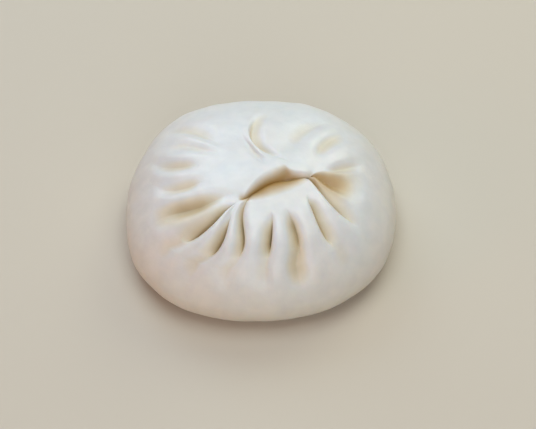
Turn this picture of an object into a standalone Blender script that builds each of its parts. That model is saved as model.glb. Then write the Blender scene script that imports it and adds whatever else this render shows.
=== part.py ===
"""A large steamed bun: one soft, flattened dome of white dough, pleated towards an off-centre pinched seam.

Blender 4.5, metres, +Z up. The origin is at the middle of the flat underside, +Y points to the smooth
back of the bun and -Y to the side with the deep pleats. The pleats run out from the seam like rays, and the
dough behind the seam stands over it as a rounded flap.
"""

import math
from collections import namedtuple

import bmesh
import bpy
from mathutils import Vector

# Driving dimensions
WIDTH = 0.1110          # left to right, at the belly
DEPTH = 0.1100          # front to back, at the belly
CROWN_HEIGHT = 0.0430   # underside to the crown, without the flap
BELLY_HEIGHT = 0.0130   # height of the widest line
BASE_SHARE = 0.84       # resting face, as a share of the belly's outline

# Form of the dome
PLAN_ROUNDNESS = 2.33   # 2 is an ellipse seen from above, more is squarer
CROWN_SPREAD = 3.1      # more makes the crown broader and flatter
SHOULDER_FALL = 1.6     # more makes the shoulder rounder
WAVES = ((2, 0.005, 0.0), (3, 0.008, 1.8), (5, 0.0035, 3.2))  # round the outline: count, share, phase

# The seam, a pinched slit across the crown, bowed backwards. Angles round it run anticlockwise from +X.
SEAM_CENTRE = Vector((0.0069, -0.0152))
SEAM_HALF_LENGTH = 0.0139
SEAM_TURN = math.radians(23)
SEAM_BOW = 0.0032
BOW_SHARPNESS = 2.4     # more draws the bow in towards the middle of the slit
SLIT_DEPTH = 0.0019
SLIT_END_DEPTH = 0.2    # its depth at the two ends, as a share of that
FRONT_SLOPE = 0.0080    # how far in front of the slit the dough starts to fall
END_SLOPE = 0.35        # the same at its two ends, as a share of that
FLAP_RISE = 0.0018      # how far the flap stands over the crown
FLAP_END = 0.0200       # where the flap has run out into the dome
NOTCH_AT = 0.40         # where its wall is broadest, from -1 at the slit's left end to 1 at its right
WALL_LEFT, WALL_NOTCH, WALL_RIGHT = 0.0012, 0.0054, 0.0020  # breadth of the flap's wall at each

# One pleat is a crease with a roll of dough on each side. Its path is its angle at the seam, a third and
# two thirds of the way, and near the belly, in degrees. It opens from start to full and closes from hold to
# end, as shares of the way from seam to belly. mouth is how much deeper it is where it runs into the slit,
# mouth_end where that has run out, and tail what is left of the crease near the belly. lap is the side that
# lies on top: 1 is the anticlockwise one. Softness runs from 0, a sharp fold, to 1, a shallow channel, and
# breadth is how far it spreads.
Pleat = namedtuple("Pleat", "path start full hold end depth mouth mouth_end tail lap softness breadth",
                   defaults=(0.0, 0.4, 0.1, 1, 0.0, 1.0))
PLEATS = (
    Pleat((-189, -158, -154, -153), 0.12, 0.42, 0.50, 0.78, 0.0027, softness=1.0, breadth=1.35),
    Pleat((-138, -128, -129, -137), 0.15, 0.30, 0.50, 0.74, 0.0048, tail=0.4, softness=0.15, breadth=1.2),
    Pleat((-131, -121, -114, -121), 0.30, 0.54, 0.60, 0.75, 0.0048, tail=0.5, softness=0.05, breadth=1.1),
    Pleat((-120, -112, -103, -106), 0.00, 0.50, 0.58, 0.74, 0.0033, 0.0005, tail=0.5, softness=0.15),
    Pleat((-78, -79, -84, -88), 0.36, 0.56, 0.60, 0.75, 0.0040, tail=0.5, softness=0.1),
    Pleat((-69, -70, -69, -71), 0.36, 0.54, 0.62, 0.78, 0.0028, tail=0.7, softness=0.5),
    Pleat((-41, -45, -52, -51), 0.32, 0.42, 0.61, 0.80, 0.0031, tail=0.3, lap=-1, softness=0.1),
    Pleat((-6, -29, -36, -34), 0.02, 0.17, 0.48, 0.78, 0.0028, 0.0006, tail=0.2, lap=-1, softness=0.2),
    Pleat((12, -14, -17, -18), 0.10, 0.30, 0.36, 0.62, 0.0009, 0.0008, 0.65, softness=1.0, breadth=2.0),
    Pleat((34, 11, 11, 12), 0.20, 0.32, 0.40, 0.60, 0.0012, softness=1.0, breadth=0.7),
    Pleat((38, 49, 42, 43), 0.22, 0.34, 0.40, 0.60, 0.0013, softness=1.0, breadth=0.8),
    Pleat((42, 76, 60, 56), 0.22, 0.38, 0.42, 0.66, 0.0009, softness=1.0),
    Pleat((48, 112, 97, 80), 0.14, 0.21, 0.40, 0.62, 0.0015, tail=0.3, softness=1.0, breadth=0.6),
    Pleat((110, 116, 119, 122), 0.14, 0.20, 0.24, 0.34, 0.0008, softness=1.0, breadth=0.8),
    Pleat((132, 134, 137, 143), 0.40, 0.58, 0.64, 0.85, 0.0008, softness=1.0),
    Pleat((138, 141, 149, 155), 0.35, 0.52, 0.58, 0.80, 0.0006, softness=1.0),
    Pleat((147, 152, 165, 166), 0.42, 0.56, 0.60, 0.76, 0.0014, softness=0.9),
    Pleat((160, 171, 186, 177), 0.36, 0.48, 0.52, 0.70, 0.0015, softness=0.9),
)
RIDGE_PUFF = 0.26       # how far a roll stands over the dome, as a share of the creases beside it
SHARP_PART = 0.6        # the narrow crease's share of a sharp fold's depth, the rest being a soft valley
TUCK = 0.30             # how far a crease is pushed under the roll over it, as a share of its depth
MOUTH_HOLD = 0.4        # where a mouth starts to run out, as a share of the way to its end
TAIL_END = 0.97         # where the tails have run out, as a share of the way from seam to belly
PATH_END = 0.8          # where the last angle of a path is

# How broad a crease is on each side, as shares of the way to the next one
LAPPING_CREASE, OPEN_CREASE = 0.12, 0.26
LAPPING_VALLEY, SOFT_LAPPING_VALLEY = 0.28, 0.50
OPEN_VALLEY, SOFT_OPEN_VALLEY = 0.64, 0.50

# Fineness of the mesh
COLUMNS_A_PLEAT = 5.2
COLUMNS_A_DEGREE = 0.09
CROWDING = 0.7          # how closely the columns crowd beside the creases, from 0 to 1
RINGS = 38
CROWN_RINGS = 28        # rings on the dome
BELLY_RINGS = 7         # rings on the turned-in edge below it
RING_CROWDING = 1.4     # more draws the dome's rings closer to the seam

DOUGH_COLOUR = (0.86, 0.83, 0.77, 1.0)
DOUGH_ROUGHNESS = 0.5


def ease(low, high, value):
    """0 up to low, 1 from high on, and a smooth rise between them."""
    t = min(1.0, max(0.0, (value - low) / (high - low)))
    return t * t * (3 - 2 * t)


def outline_point(angle):
    """The belly's outline in plan, in that direction from the middle."""
    c, s = math.cos(angle), math.sin(angle)
    reach = (abs(c) / (WIDTH / 2)) ** PLAN_ROUNDNESS + (abs(s) / (DEPTH / 2)) ** PLAN_ROUNDNESS
    wave = sum(share * math.sin(count * angle + phase) for count, share, phase in WAVES)
    return Vector((c, s)) * (1 + wave) * reach ** (-1 / PLAN_ROUNDNESS)


def dome_height(plan):
    """Height of the smooth dome over a point of the plan."""
    share = min(1.0, plan.length / outline_point(math.atan2(plan.y, plan.x)).length)
    rise = (1 - share ** CROWN_SPREAD) ** (1 / SHOULDER_FALL)
    return BELLY_HEIGHT + (CROWN_HEIGHT - BELLY_HEIGHT) * rise


def dome_normal(plan):
    step = 0.0004
    slope_x = dome_height(plan + Vector((step, 0))) - dome_height(plan - Vector((step, 0)))
    slope_y = dome_height(plan + Vector((0, step))) - dome_height(plan - Vector((0, step)))
    return Vector((-slope_x, -slope_y, 2 * step)).normalized()


def seam_point(angle):
    """The point of the slit that the dough running out at that angle starts from."""
    along, behind = math.cos(angle - SEAM_TURN), math.sin(angle - SEAM_TURN)
    direction = Vector((math.cos(SEAM_TURN), math.sin(SEAM_TURN)))
    backward = Vector((-direction.y, direction.x))
    bow = backward * SEAM_BOW * abs(behind) ** BOW_SHARPNESS
    return SEAM_CENTRE + direction * SEAM_HALF_LENGTH * along + bow


def wall_breadth(along):
    """Breadth of the flap's wall at that place along the slit."""
    if along < NOTCH_AT:
        return WALL_LEFT + (WALL_NOTCH - WALL_LEFT) * (along + 1) / (NOTCH_AT + 1)
    return WALL_RIGHT + (WALL_NOTCH - WALL_RIGHT) * (1 - (along - NOTCH_AT) / (1 - NOTCH_AT)) ** 4


def seam_rise(angle, distance):
    """How far the skin is raised or sunk at that distance from the slit: a slope in front, a wall behind."""
    along, behind = math.cos(angle - SEAM_TURN), math.sin(angle - SEAM_TURN)
    depth = SLIT_DEPTH * (SLIT_END_DEPTH + (1 - SLIT_END_DEPTH) * abs(behind) ** 0.7)
    slope = FRONT_SLOPE * (END_SLOPE + (1 - END_SLOPE) * behind ** 2)
    fall = 1 - min(1.0, distance / slope)
    front = -depth * fall ** 1.3
    if behind <= 0:
        return front
    wall = wall_breadth(along)
    rise = FLAP_RISE * behind ** 0.8
    climb = 1 - (1 - min(1.0, distance / wall)) ** 1.5
    flap = (depth + rise) * climb - depth - rise * ease(wall, FLAP_END, distance)
    return front + (flap - front) * ease(0, 0.55, behind)


def crease_angle(pleat, share):
    """Direction of a pleat's crease: the smooth curve through the four angles of its path."""
    t = 3 * min(1.0, share / PATH_END)
    weights = ((t - 1) * (t - 2) * (3 - t) / 6, t * (t - 2) * (t - 3) / 2,
               t * (t - 1) * (3 - t) / 2, t * (t - 1) * (t - 2) / 6)
    return math.radians(sum(weight * angle for weight, angle in zip(weights, pleat.path)))


def crease_pair(pleat_number, share):
    """Directions of a pleat's crease and of the next one's, anticlockwise."""
    from_angle = crease_angle(PLEATS[pleat_number], share)
    to_angle = crease_angle(PLEATS[(pleat_number + 1) % len(PLEATS)], share)
    while to_angle < from_angle:
        to_angle += math.tau
    return from_angle, to_angle


def crease_depths(pleat, share):
    """Depth of a crease's sharp fold, and of the soft valley that it lies in."""
    opening = ease(pleat.start - 0.05, pleat.full, share)
    trailing = pleat.tail * ease(pleat.start, pleat.end, share) * (1 - ease(pleat.end, TAIL_END, share))
    sharp = opening * (1 - ease(pleat.hold, pleat.end, share))
    soft = max(opening * (1 - ease(pleat.hold, pleat.end + 0.12, share)), trailing)
    sharp_part = SHARP_PART * (1 - pleat.softness)
    mouth = pleat.mouth * (1 - ease(MOUTH_HOLD * pleat.mouth_end, pleat.mouth_end, share))
    return (pleat.depth * sharp_part * sharp + mouth * (1 - pleat.softness),
            pleat.depth * (1 - sharp_part) * soft + mouth * pleat.softness)


def between(sharp_value, soft_value, softness):
    return sharp_value + (soft_value - sharp_value) * softness


def fold_sides(pleat, lapping, u):
    """How much of the crease and of its valley is left at u from it, on its lapping or its open side."""
    if lapping:
        valley = between(LAPPING_VALLEY, SOFT_LAPPING_VALLEY, pleat.softness)
        return 1 - ease(0, LAPPING_CREASE, u), 1 - ease(0, valley, u)
    valley = between(OPEN_VALLEY, SOFT_OPEN_VALLEY, pleat.softness)
    run = 1 - min(1.0, u / OPEN_CREASE)
    return 1 - math.sqrt(1 - run ** 2), 1 - ease(0, valley, u)


def skin_point(pleat_number, u, share):
    """A point of the dome's skin, u of the way between two creases and share of the way to the belly."""
    from_angle, to_angle = crease_pair(pleat_number, share)
    angle = from_angle + (to_angle - from_angle) * u
    start, end = seam_point(angle), outline_point(angle)
    plan = start.lerp(end, share)
    sideways = Vector((start.y - end.y, end.x - start.x, 0)).normalized()
    sunk = tucked = puffed = 0.0
    before, after = PLEATS[pleat_number], PLEATS[(pleat_number + 1) % len(PLEATS)]
    for pleat, away, side in ((before, u, 1), (after, 1 - u, -1)):
        sharp, soft = crease_depths(pleat, share)
        of_sharp, of_soft = fold_sides(pleat, pleat.lap == side, away / pleat.breadth)
        sunk += sharp * of_sharp + soft * of_soft
        tucked += pleat.lap * TUCK * sharp * of_sharp
        puffed += RIDGE_PUFF * (sharp + soft) * (1 - away) * math.sin(math.pi * u)
    height = dome_height(plan) + seam_rise(angle, share * (end - start).length)
    return Vector((*plan, height)) + dome_normal(plan) * (puffed - sunk) + sideways * tucked


def underside_point(pleat_number, u, share):
    """A point below the belly: round the turned-in edge, then over the flat that the bun rests on."""
    from_angle, to_angle = crease_pair(pleat_number, 1.0)
    edge = outline_point(from_angle + (to_angle - from_angle) * u)
    turned = BELLY_RINGS / (RINGS - CROWN_RINGS)
    if share >= turned:
        return Vector((*(edge * BASE_SHARE * (1 - share) / (1 - turned)), 0))
    turn = share / turned * math.pi / 2
    plan = edge * (BASE_SHARE + (1 - BASE_SHARE) * math.cos(turn))
    return Vector((*plan, BELLY_HEIGHT * (1 - math.sin(turn))))


def columns():
    """For each column of the mesh, its pleat and how far it is towards the next pleat's crease."""
    shared_out = []
    for number, pleat in enumerate(PLEATS):
        gap = (PLEATS[(number + 1) % len(PLEATS)].path[-1] - pleat.path[-1]) % 360
        count = round(COLUMNS_A_PLEAT + COLUMNS_A_DEGREE * gap)
        for step in range(count):
            u = step / count
            shared_out.append((number, u - CROWDING * math.sin(math.tau * u) / math.tau))
    return shared_out


def dough_material():
    material = bpy.data.materials.new("dough")
    material.use_nodes = True
    shader = material.node_tree.nodes["Principled BSDF"]
    shader.inputs["Base Color"].default_value = DOUGH_COLOUR
    shader.inputs["Roughness"].default_value = DOUGH_ROUGHNESS
    shader.inputs["Metallic"].default_value = 0.0
    return material


def make_bun(collection):
    """The whole bun: a sphere of dough pressed into the dome, with a pleat for each group of its columns."""
    places = columns()
    shape = bmesh.new()
    bmesh.ops.create_uvsphere(shape, u_segments=len(places), v_segments=RINGS, radius=1.0)
    for vertex in shape.verts:
        turn = round(math.atan2(vertex.co.y, vertex.co.x) / math.tau * len(places)) % len(places)
        ring = round(math.acos(max(-1.0, min(1.0, vertex.co.z))) / math.pi * RINGS)
        pleat_number, u = places[turn]
        if ring == 0:
            middle = (seam_point(SEAM_TURN + math.pi / 2) + seam_point(SEAM_TURN - math.pi / 2)) / 2
            vertex.co = Vector((*middle, dome_height(middle) - SLIT_DEPTH))
        elif ring <= CROWN_RINGS:
            share = math.sin(math.pi / 2 * (ring / CROWN_RINGS) ** RING_CROWDING)
            vertex.co = skin_point(pleat_number, u, share)
        else:
            vertex.co = underside_point(pleat_number, u, (ring - CROWN_RINGS) / (RINGS - CROWN_RINGS))
    mesh = bpy.data.meshes.new("bun")
    shape.to_mesh(mesh)
    shape.free()
    mesh.shade_smooth()
    mesh.materials.append(dough_material())
    collection.objects.link(bpy.data.objects.new("bun", mesh))


def main():
    for thing in list(bpy.data.objects):
        bpy.data.objects.remove(thing)
    collection = bpy.data.collections.new("steamed bun")
    bpy.context.scene.collection.children.link(collection)
    make_bun(collection)


main()
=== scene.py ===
"""A large steamed bun on a pale table: white dough, gathered in pleats and pinched shut near its crown.

Metres, +Z up. -Y is the side with the deep pleats, and the pinched seam lies in front of the middle.
"""
import math
from collections import namedtuple

import bmesh
import bpy
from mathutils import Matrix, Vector, noise


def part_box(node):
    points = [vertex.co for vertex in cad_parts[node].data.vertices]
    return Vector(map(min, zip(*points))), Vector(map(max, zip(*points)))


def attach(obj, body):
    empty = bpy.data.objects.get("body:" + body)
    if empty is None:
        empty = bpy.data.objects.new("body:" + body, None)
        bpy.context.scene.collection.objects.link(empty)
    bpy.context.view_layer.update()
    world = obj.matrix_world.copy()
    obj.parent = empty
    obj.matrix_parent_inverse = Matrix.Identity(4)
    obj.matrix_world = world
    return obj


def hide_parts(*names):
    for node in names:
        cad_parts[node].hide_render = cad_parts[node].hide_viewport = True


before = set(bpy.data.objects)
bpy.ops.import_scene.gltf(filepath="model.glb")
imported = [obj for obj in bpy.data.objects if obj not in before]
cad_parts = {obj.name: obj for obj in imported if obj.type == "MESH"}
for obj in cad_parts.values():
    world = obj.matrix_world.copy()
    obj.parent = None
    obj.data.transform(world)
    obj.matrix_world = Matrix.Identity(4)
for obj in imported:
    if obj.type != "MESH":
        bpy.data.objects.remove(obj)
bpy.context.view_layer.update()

# ----------------------------------------------------------------------------------------------------------
# The bun. One round of raised wheat dough, gathered in pleats over its filling and pinched shut, then
# steamed until it swells. It is a fine sphere of skin, pulled into the flattened dome with its pinched
# slit, and every fold is pressed into it along one of its meridians.
# ----------------------------------------------------------------------------------------------------------
MM = 0.001
low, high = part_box("bun")
middle = (low + high) / 2

# The dome, before anything is pinched.
half_width = (high.x - low.x) / 2
half_depth = (high.y - low.y) / 2
crown_height = 0.961 * (high.z - low.z)  # the flap stands above it
belly_height = 13.0 * MM
plan_roundness = 2.33    # 2 is an ellipse seen from above, more is squarer
crown_spread = 3.1       # more makes the crown broader and flatter
shoulder_fall = 1.6      # more makes the shoulder rounder
resting_share = 0.84     # the flat underside, as a share of the belly's outline
outline_waves = ((2, 0.005, 0.0), (3, 0.008, 1.8), (5, 0.0035, 3.2))  # count, share of the outline, phase


def ease(start, end, value):
    """0 before start, 1 after end, and a smooth rise between them."""
    t = min(1.0, max(0.0, (value - start) / (end - start)))
    return t * t * (3 - 2 * t)


def belly_outline(angle):
    """The widest line of the bun, in plan."""
    c, s = math.cos(angle), math.sin(angle)
    reach = (abs(c) / half_width) ** plan_roundness + (abs(s) / half_depth) ** plan_roundness
    wave = sum(share * math.sin(count * angle + phase) for count, share, phase in outline_waves)
    return Vector((c, s)) * (1 + wave) * reach ** (-1 / plan_roundness)


def dome_height(plan):
    edge = belly_outline(math.atan2(plan.y, plan.x)).length
    share = min(1.0, plan.length / edge)
    return belly_height + (crown_height - belly_height) * (1 - share ** crown_spread) ** (1 / shoulder_fall)


def dome_normal(plan):
    step = 0.4 * MM
    slope_x = dome_height(plan + Vector((step, 0))) - dome_height(plan - Vector((step, 0)))
    slope_y = dome_height(plan + Vector((0, step))) - dome_height(plan - Vector((0, step)))
    return Vector((-slope_x, -slope_y, 2 * step)).normalized()


# The pinched seam: a slit across the crown, bowed backwards. The dough in front slopes down into it. The
# dough behind stands over it as a rounded flap, with a notch in its edge. Angles run anticlockwise round
# the slit from +X, so about the first half turn is behind it.
seam_centre = Vector((6.9, -15.8)) * MM
seam_half_length = 14.1 * MM
seam_turn = math.radians(25.2)
seam_along = Vector((math.cos(seam_turn), math.sin(seam_turn)))
seam_forward = Vector((seam_along.y, -seam_along.x, 0))
seam_bow = 3.7 * MM
seam_bow_sharpness = 2.4  # more keeps the bow to the middle of the slit
slit_depth = 1.9 * MM
slit_end_depth = 0.2     # the depth at its two ends, as a share of that
slit_end_taper = 0.7     # less keeps it deep nearer to its ends
front_slope = 8.0 * MM   # how far in front of the slit the dough starts to fall
front_slope_end = 0.35   # and at the slit's ends, as a share of that
front_hollow = 1.3       # more hollows the slope
front_shade = 1.1        # more keeps its painted shade closer to the slit
flap_rise = 1.8 * MM
flap_taper = 0.8         # less keeps the flap high nearer to the slit's ends
flap_roundness = 1.5     # more rounds the flap's edge
flap_starts = 0.55       # how far round from the slit's ends the flap is whole, as the sine of that angle
flap_runs_out = 20.0 * MM
flap_lean = 0.3 * MM     # how far it leans out over the slit
lean_height = 0.6        # less puts the lean lower on its wall
wall_shade, notch_shade = 1.9, 0.8  # less spreads the painted shade further up the wall, and at the notch
notch_at = 0.40          # where the notch is, from -1 at the slit's left end to 1 at its right
notch_reach = 0.4        # how far along the slit its darker painted shade spreads
# How broad the flap's wall is at the slit's left end, at the notch and at the right end.
wall_left, wall_notch, wall_right = 1.2 * MM, 5.4 * MM, 2.0 * MM
wall_narrows = 6         # more narrows the wall faster to the right of the notch
pale_end = 0.55          # how much weaker the painted shade is at the slit's right end
pale_from, pale_full = 0.35, 0.9  # where along the slit that starts and is complete


def seam_point(angle):
    """Where the dough that runs out at this angle starts, on the slit."""
    along, behind = math.cos(angle - seam_turn), math.sin(angle - seam_turn)
    bowed = seam_bow * abs(behind) ** seam_bow_sharpness
    return seam_centre + seam_along * seam_half_length * along - seam_forward.xy * bowed


def flap_wall(along):
    """How broad the flap's wall is at this place along the slit."""
    if along < notch_at:
        return wall_left + (wall_notch - wall_left) * (along + 1) / (notch_at + 1)
    past_notch = (along - notch_at) / (1 - notch_at)
    return wall_right + (wall_notch - wall_right) * (1 - past_notch) ** wall_narrows


def seam_shift(angle, distance):
    """How far the pinch moves the skin this far from the slit, and how much painted slit shade it gets, 0 to
    1.
    """
    along, behind = math.cos(angle - seam_turn), math.sin(angle - seam_turn)
    depth = slit_depth * (slit_end_depth + (1 - slit_end_depth) * abs(behind) ** slit_end_taper)
    slope = front_slope * (front_slope_end + (1 - front_slope_end) * behind ** 2)
    fall = 1 - min(1.0, distance / slope)
    shift, in_slit = Vector((0, 0, -depth * fall ** front_hollow)), fall ** front_shade
    if behind > 0:
        wall = flap_wall(along)
        climb = min(1.0, distance / wall)
        rise = flap_rise * behind ** flap_taper
        height = (depth + rise) * (1 - (1 - climb) ** flap_roundness) - depth
        lean = flap_lean * math.sqrt(behind) * math.sin(math.pi * climb ** lean_height)
        flap = seam_forward * lean + Vector((0, 0, height - rise * ease(wall, flap_runs_out, distance)))
        off_end = ease(0, flap_starts, behind)
        shift = shift.lerp(flap, off_end)
        # Painted shade on the flap's wall, darkest at its foot and reaching further up at the notch.
        at_notch = 1 - min(1.0, abs(along - notch_at) / notch_reach)
        on_wall = (1 - climb) ** (wall_shade + (notch_shade - wall_shade) * at_notch)
        in_slit += (on_wall - in_slit) * off_end
    return shift, in_slit * (1 - pale_end * ease(pale_from, pale_full, along))


# One pleat is a crease where the dough on one side laps over the other. Its path is the crease's angle in
# degrees, at the seam, a third and two thirds of the way to path_end, and there. Shares run from 0 at the
# seam to 1 at the belly: it opens from start to full and closes from hold to end. depth is in mm, mouth
# is how many mm deeper it is where it runs into the slit, mouth_end is where that has run out, and tail
# is the share of its depth that is left towards the belly. lap is 1 where the dough on the anticlockwise
# side lies on top, and -1 where the clockwise side does. softness runs from 0, a sharp fold, to 1, a
# shallow channel, and breadth is how far it spreads to its neighbours. The angles at the seam rise round
# the bun, so that the skin stays whole there.
Pleat = namedtuple("Pleat", "path start full hold end depth mouth mouth_end tail lap softness breadth",
                   defaults=(0.0, 0.4, 0.1, 1, 0.0, 1.0))
pleats = (
    Pleat((-189, -158, -154, -153.5), 0.12, 0.42, 0.50, 0.78, 2.7, tail=0.1, softness=1.0, breadth=1.35),
    Pleat((-138, -129.2, -129.8, -138), 0.15, 0.30, 0.50, 0.74, 4.8, tail=0.4, softness=0.15, breadth=1.2),
    Pleat((-131, -121.5, -114, -121.5), 0.30, 0.54, 0.60, 0.75, 4.8, tail=0.5, softness=0.05, breadth=1.1),
    Pleat((-112, -110.3, -101.6, -106), 0.00, 0.50, 0.58, 0.74, 3.3, 0.2, tail=0.5, softness=0.15),
    Pleat((-78.5, -79.6, -83.2, -87.5), 0.36, 0.56, 0.60, 0.75, 3.8, tail=0.5, softness=0.1),
    Pleat((-68, -68.5, -67.8, -72.3), 0.36, 0.54, 0.62, 0.78, 2.8, tail=0.9, softness=0.5),
    Pleat((-39.8, -44, -51.1, -50), 0.32, 0.42, 0.61, 0.80, 3.1, tail=0.5, lap=-1, softness=0.1),
    Pleat((-6, -28.8, -35.2, -33), 0.02, 0.17, 0.48, 0.78, 2.8, 0.6, tail=0.2, lap=-1, softness=0.2),
    Pleat((12, -14, -17, -18), 0.10, 0.30, 0.36, 0.62, 0.9, 0.8, 0.65, softness=1.0, breadth=2.0),
    Pleat((34, 11, 11, 12), 0.20, 0.32, 0.40, 0.60, 1.2, softness=1.0, breadth=0.7),
    Pleat((38, 49, 42, 43), 0.22, 0.34, 0.40, 0.60, 1.3, softness=1.0, breadth=0.8),
    Pleat((42, 76, 60, 56), 0.22, 0.38, 0.42, 0.66, 0.9, softness=1.0),
    Pleat((48, 110, 99, 80), 0.14, 0.26, 0.39, 0.57, 1.6, tail=0.3, softness=1.0, breadth=0.6),
    Pleat((110, 116, 119, 122), 0.14, 0.20, 0.24, 0.34, 0.8, softness=1.0, breadth=0.8),
    Pleat((132, 134, 137, 143), 0.40, 0.58, 0.64, 0.85, 1.0, softness=1.0),
    Pleat((138, 141, 149, 155), 0.35, 0.52, 0.58, 0.80, 0.8, softness=1.0),
    Pleat((147, 152, 165.5, 166), 0.42, 0.56, 0.60, 0.76, 1.4, softness=0.9),
    Pleat((160, 171, 186, 177.5), 0.36, 0.48, 0.52, 0.70, 1.5, softness=0.9),
)
path_end = 0.8           # where a path reaches its last angle
sharp_most = 0.6         # how much of a crease with no softness is sharp, the rest being a soft valley
lead_in = 0.05           # how long before its start a crease opens, and how long after its end its tail fades
tail_end = 0.99          # where the tail has faded
valley_runs_on = 0.12    # how much further than its sharp fold a soft valley runs
mouth_full = 0.4         # the share of a mouth's length over which it has its full depth
sharp_reach = 0.12, 0.26  # how far the sharp fold spreads on its lapping and open side, as a share of the gap
valley_reach = 0.28, 0.64  # and the soft valley beside a sharp fold
channel_reach = 0.50     # and a shallow channel, on both sides
open_steepness = 2.2     # more makes the open side of a sharp fold steeper
steepest_run = 0.97      # how near the crease that side stops steepening
slit_dark_mouth = 1.3 * MM  # a mouth as deep as this gets painted shade as dark as the slit's
darkest_fold = 3.6 * MM  # a fold as deep as this gets the darkest painted shade
ridge_puff = 0.26        # how far a roll of dough stands over the dome, as a share of the creases beside it
folded_share = 1.6       # how much of a crease is folded over, as a share of its sharp part
tuck = 0.34              # how far a crease is pushed under the roll that laps over it, as a share of that
overhang = 0.14          # how far that roll's edge leans out over the crease, as a share of that too
overhang_reach = 0.4     # how far back from the crease it leans, as a share of the gap
swells = ((17.0 * MM, 0.55 * MM), (7.0 * MM, 0.22 * MM))  # the risen dough's unevenness: how broad, how high


def crease_angle(pleat, share):
    """The smooth curve through the four angles of the pleat's path."""
    t = 3 * min(1.0, share / path_end)
    weights = ((t - 1) * (t - 2) * (3 - t) / 6, t * (t - 2) * (t - 3) / 2,
               t * (t - 1) * (3 - t) / 2, t * (t - 1) * (t - 2) / 6)
    return math.radians(sum(weight * angle for weight, angle in zip(weights, pleat.path)))


def crease_depths(pleat, share):
    """The depth of the sharp fold, of the soft valley that it lies in, and of its mouth at the slit."""
    opening = ease(pleat.start - lead_in, pleat.full, share)
    faded = ease(pleat.end + lead_in, tail_end, share)
    trailing = pleat.tail * ease(pleat.start, pleat.end, share) * (1 - faded)
    sharp = opening * (1 - ease(pleat.hold, pleat.end, share))
    soft = max(opening * (1 - ease(pleat.hold, pleat.end + valley_runs_on, share)), trailing)
    sharp_part = sharp_most * (1 - pleat.softness)
    mouth = pleat.mouth * (1 - ease(mouth_full * pleat.mouth_end, pleat.mouth_end, share)) * MM
    sharp_depth = pleat.depth * sharp_part * sharp * MM + mouth * (1 - pleat.softness)
    return sharp_depth, pleat.depth * (1 - sharp_part) * soft * MM + mouth * pleat.softness, mouth


def fold_sides(pleat, lapping, u):
    """How much of the sharp fold and of the soft valley is left at u, on the lapping or open side."""
    sharp, valley = [reach[0 if lapping else 1] for reach in (sharp_reach, valley_reach)]
    of_valley = 1 - ease(0, valley + (channel_reach - valley) * pleat.softness, u)
    if lapping:
        return 1 - ease(0, sharp, u), of_valley
    run = 1 - min(1.0, u / sharp)
    return 1 - math.sqrt(1 - min(steepest_run, run) ** open_steepness), of_valley


def swell(place):
    """How far the dough has risen unevenly here."""
    return sum(height * noise.noise(place / broad) for broad, height in swells)


def crease_pair(pleat_number, share):
    """The angles of a pleat's crease and of the next one's, anticlockwise."""
    from_angle = crease_angle(pleats[pleat_number], share)
    to_angle = crease_angle(pleats[(pleat_number + 1) % len(pleats)], share)
    while to_angle < from_angle:
        to_angle += math.tau
    return from_angle, to_angle


def skin_point(pleat_number, u, share):
    """A point on the dome's skin, and how much painted shade it gets from its folds and from the slit, each 0
    to 1.
    """
    from_angle, to_angle = crease_pair(pleat_number, share)
    angle = from_angle + (to_angle - from_angle) * u
    start, end = seam_point(angle), belly_outline(angle)
    run = end - start
    plan = start + run * share
    sideways = Vector((-run.y, run.x, 0)).normalized()
    sunk = tucked = puffed = in_mouth = 0.0
    before, after = pleats[pleat_number], pleats[(pleat_number + 1) % len(pleats)]
    for pleat, away, side in ((before, u, 1), (after, 1 - u, -1)):
        sharp, soft, mouth = crease_depths(pleat, share)
        lapping = pleat.lap == side
        of_sharp, of_soft = fold_sides(pleat, lapping, away / pleat.breadth)
        folded_over = sharp * folded_share
        sunk += sharp * of_sharp + soft * of_soft
        # Painted shadow: a crease's mouth, shaded by the flap, is painted dark like the slit.
        in_mouth = max(in_mouth, mouth * math.sqrt(of_soft) / slit_dark_mouth)
        tucked += pleat.lap * tuck * folded_over * of_sharp
        if lapping:
            tucked -= side * overhang * folded_over * math.sin(math.pi * min(1.0, away / overhang_reach))
        puffed += ridge_puff * (sharp + soft) * (1 - away) * math.sin(math.pi * u)
    pinched, in_slit = seam_shift(angle, share * run.length)
    dome = Vector((*plan, dome_height(plan)))
    place = dome + dome_normal(plan) * (puffed - sunk + swell(dome)) + sideways * tucked + pinched
    return place, min(1.0, sunk / darkest_fold), min(1.0, max(in_slit, in_mouth))


def underside_point(pleat_number, u, share):
    """A point under the belly's line: round the turned-in edge, then over the flat that the bun rests on."""
    from_angle, to_angle = crease_pair(pleat_number, 1.0)
    edge = belly_outline(from_angle + (to_angle - from_angle) * u)
    if share > turned_share:
        return Vector((*(edge * resting_share * (1 - share) / (1 - turned_share)), 0))
    turn = share / turned_share * math.pi / 2
    plan = edge * (resting_share + (1 - resting_share) * math.cos(turn))
    swollen = swell(Vector((*edge, belly_height))) * math.cos(turn)
    return Vector((*(plan + edge.normalized() * swollen), belly_height * (1 - math.sin(turn))))


# The mesh: its meridians are shared out so that each crease has one, and they crowd together beside it.
meridians_a_pleat = 13
meridians_a_degree = 0.62
crowding = 0.7           # more crowds them closer to the creases
rings = 206
crown_rings = 168
ring_crowding = 1.5      # more crowds the rings closer to the slit
turned_share = 0.62      # share of the rings below the belly that go round the turned-in edge


def meridians():
    """For each meridian, the pleat it belongs to and how far it is towards the next pleat's crease."""
    for number, pleat in enumerate(pleats):
        gap = (pleats[(number + 1) % len(pleats)].path[-1] - pleat.path[-1]) % 360
        count = round(meridians_a_pleat + meridians_a_degree * gap)
        for step in range(count):
            u = step / count
            yield number, u - crowding * math.sin(math.tau * u) / math.tau


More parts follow.
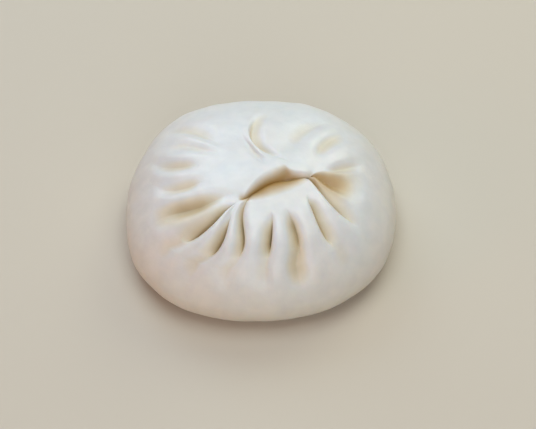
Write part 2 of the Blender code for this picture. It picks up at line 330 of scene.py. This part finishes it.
places = list(meridians())
dough = bmesh.new()
bmesh.ops.create_uvsphere(dough, u_segments=len(places), v_segments=rings, radius=1.0)
fold = dough.verts.layers.float.new("fold")
slit = dough.verts.layers.float.new("slit")
for vertex in dough.verts:
    turn = round(math.atan2(vertex.co.y, vertex.co.x) / math.tau * len(places)) % len(places)
    ring = round(math.acos(max(-1.0, min(1.0, vertex.co.z))) / math.pi * rings)
    number, u = places[turn]
    if ring == 0:
        middle_of_slit = seam_centre - seam_forward.xy * seam_bow
        vertex.co = Vector((*middle_of_slit, dome_height(middle_of_slit) - slit_depth))
        vertex[slit] = 1.0
    elif ring <= crown_rings:
        share = math.sin(math.pi / 2 * (ring / crown_rings) ** ring_crowding)
        vertex.co, vertex[fold], vertex[slit] = skin_point(number, u, share)
    else:
        vertex.co = underside_point(number, u, (ring - crown_rings) / (rings - crown_rings))

bun_mesh = bpy.data.meshes.new("bun_dough")
dough.to_mesh(bun_mesh)
dough.free()
bun_mesh.shade_smooth()
bun = bpy.data.objects.new("bun_dough", bun_mesh)
bpy.context.scene.collection.objects.link(bun)

# Steamed dough: an off-white, slightly translucent skin with a faint satin shine. Painted shade makes it tan
# where it is folded in and brown in the slit, and painted warm light and shade make it creamier towards the
# foot.
steamed = bpy.data.materials.new("steamed_dough")
steamed.use_nodes = True
nodes, links = steamed.node_tree.nodes, steamed.node_tree.links
shader = nodes["Principled BSDF"]
shader.inputs["Specular IOR Level"].default_value = 0.6
shader.inputs["Subsurface Weight"].default_value = 0.25
shader.inputs["Subsurface Radius"].default_value = (1.0, 0.6, 0.35)
shader.inputs["Subsurface Scale"].default_value = 1.5 * MM
place_on_bun = nodes.new("ShaderNodeTexCoord")


def grain(scale, detail):
    """A soft noise through the dough, scale in waves a metre."""
    texture = nodes.new("ShaderNodeTexNoise")
    texture.inputs["Scale"].default_value = scale
    texture.inputs["Detail"].default_value = detail
    links.new(place_on_bun.outputs["Object"], texture.inputs["Vector"])
    return texture


def colours(source, *stops):
    """A colour ramp from a source, with a place and a colour for each stop."""
    ramp = nodes.new("ShaderNodeValToRGB")
    while len(ramp.color_ramp.elements) < len(stops):
        ramp.color_ramp.elements.new(0.5)
    for element, (at, colour) in zip(ramp.color_ramp.elements, stops):
        element.position = at
        element.color = (*colour, 1)
    links.new(source, ramp.inputs["Fac"])
    return ramp.outputs["Color"]


def tinted(colour, tint):
    mix = nodes.new("ShaderNodeMix")
    mix.data_type = "RGBA"
    mix.blend_type = "MULTIPLY"
    mix.inputs["Factor"].default_value = 1.0
    links.new(colour, mix.inputs["A"])
    links.new(tint, mix.inputs["B"])
    return mix.outputs["Result"]


def from_mesh(name):
    """A value that the mesh carries at each point."""
    attribute = nodes.new("ShaderNodeAttribute")
    attribute.attribute_name = name
    return attribute.outputs["Fac"]


# Painted shade in the creases: the deeper a point lies in a fold, the more its off-white is painted tan and
# brown.
painted_fold_shade = colours(from_mesh("fold"), (0.12, (0.80, 0.82, 0.845)), (0.32, (0.775, 0.73, 0.625)),
                 (0.6, (0.62, 0.52, 0.35)), (0.95, (0.38, 0.28, 0.14)))
# Painted shade in the slit: the dough in and beside it, and in the mouths of creases, is painted tan to deep
# brown.
painted_slit_shade = colours(from_mesh("slit"), (0.0, (1.0, 1.0, 1.0)), (0.25, (0.86, 0.74, 0.58)),
                  (0.5, (0.68, 0.50, 0.29)), (0.75, (0.55, 0.34, 0.12)), (1.0, (0.44, 0.235, 0.055)))
# Painted warm reflected light and shade: the dough is painted creamier and slightly darker low on the belly,
# for warm light bounced up from below and shade near the foot.
height = nodes.new("ShaderNodeSeparateXYZ")
links.new(place_on_bun.outputs["Object"], height.inputs["Vector"])
up_the_side = nodes.new("ShaderNodeMapRange")
up_the_side.inputs["From Min"].default_value = 8.0 * MM
up_the_side.inputs["From Max"].default_value = 37.0 * MM
links.new(height.outputs["Z"], up_the_side.inputs["Value"])
painted_foot_bounce_shade = colours(up_the_side.outputs["Result"], (0.0, (1.0, 0.93, 0.80)), (1.0, (1.0, 1.0, 1.0)))
mottle = colours(grain(170, 3).outputs["Fac"], (0.35, (0.935, 0.94, 0.945)), (0.65, (1.0, 0.995, 0.985)))
blush = colours(grain(45, 2).outputs["Fac"], (0.35, (1.0, 0.985, 0.97)), (0.65, (0.98, 0.995, 1.0)))
dough_colour = painted_fold_shade
for tint in (painted_slit_shade, painted_foot_bounce_shade, mottle, blush):
    dough_colour = tinted(dough_colour, tint)
links.new(dough_colour, shader.inputs["Base Color"])

satin = nodes.new("ShaderNodeMapRange")
satin.inputs["To Min"].default_value = 0.30
satin.inputs["To Max"].default_value = 0.44
links.new(grain(120, 3).outputs["Fac"], satin.inputs["Value"])
links.new(satin.outputs["Result"], shader.inputs["Roughness"])

pores = nodes.new("ShaderNodeBump")
pores.inputs["Strength"].default_value = 0.25
pores.inputs["Distance"].default_value = 0.12 * MM
links.new(grain(1400, 2).outputs["Fac"], pores.inputs["Height"])
dimples = nodes.new("ShaderNodeBump")
dimples.inputs["Strength"].default_value = 0.35
dimples.inputs["Distance"].default_value = 0.5 * MM
links.new(grain(260, 3).outputs["Fac"], dimples.inputs["Height"])
links.new(pores.outputs["Normal"], dimples.inputs["Normal"])
links.new(dimples.outputs["Normal"], shader.inputs["Normal"])
bun_mesh.materials.append(steamed)
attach(bun, "root")
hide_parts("bun")

# ----------------------------------------------------------------------------------------------------------
# The table top. A plain pale board, far wider than the bun, so that no edge of it shows.
# ----------------------------------------------------------------------------------------------------------
table = bmesh.new()
bmesh.ops.create_grid(table, x_segments=1, y_segments=1, size=3.0)
bmesh.ops.translate(table, verts=table.verts, vec=(0, 0, low.z - 0.1 * MM))
table_mesh = bpy.data.meshes.new("table_top")
table.to_mesh(table_mesh)
table.free()
table_top = bpy.data.objects.new("table_top", table_mesh)
bpy.context.scene.collection.objects.link(table_top)
pale = bpy.data.materials.new("pale_board")
pale.use_nodes = True
pale.node_tree.nodes["Principled BSDF"].inputs["Base Color"].default_value = (0.62, 0.57, 0.49, 1)
pale.node_tree.nodes["Principled BSDF"].inputs["Roughness"].default_value = 0.7
table_mesh.materials.append(pale)

# ----------------------------------------------------------------------------------------------------------
# Light and camera. Large soft lights above, behind and in front, cooler from behind on the left, and a
# weak warm one on the left.
# ----------------------------------------------------------------------------------------------------------
def softbox(name, place, size, power, colour, spread=180):
    """A square soft light aimed at the bun, its beam as many degrees broad as spread."""
    light = bpy.data.lights.new(name, "AREA")
    light.size = size
    light.energy = power
    light.color = colour
    light.spread = math.radians(spread)
    lamp = bpy.data.objects.new(name, light)
    lamp.location = place
    lamp.rotation_euler = (middle - Vector(place)).to_track_quat("-Z", "Y").to_euler()
    bpy.context.scene.collection.objects.link(lamp)


softbox("overhead", (0, 0, 1.1), 0.8, 5.8, (0.91, 1.0, 1.0))
softbox("window_left", (-0.45, 0.75, 0.65), 0.6, 2.9, (0.7, 0.87, 1.0))
softbox("window_right", (0.5, 0.7, 0.7), 0.6, 3.35, (0.95, 0.98, 0.8))
softbox("skylight", (-0.1, 0.9, 1.0), 0.7, 2.1, (0.55, 0.71, 0.85))
softbox("front", (0.1, -0.95, 0.55), 0.9, 4.55, (0.94, 0.98, 1.0))
softbox("warm_wall", (-1.2, -0.6, 0.42), 0.7, 0.39, (1.0, 0.30, 0.10), spread=70)
room = bpy.data.worlds.new("room")
room.use_nodes = True
room.node_tree.nodes["Background"].inputs["Color"].default_value = (1.0, 0.40, 0.20, 1)
room.node_tree.nodes["Background"].inputs["Strength"].default_value = 0.09
bpy.context.scene.world = room
bpy.context.scene.view_settings.view_transform = "Standard"

looking_down = math.radians(47.3)
lens = bpy.data.cameras.new("camera")
lens.lens = 106.5
lens.sensor_width = 36.0
lens.clip_start = 0.01
camera = bpy.data.objects.new("camera", lens)
camera.location = (0.0032, -0.4468, 0.4933)
camera.rotation_euler = (math.pi / 2 - looking_down, 0, 0)
bpy.context.scene.collection.objects.link(camera)
bpy.context.scene.camera = camera
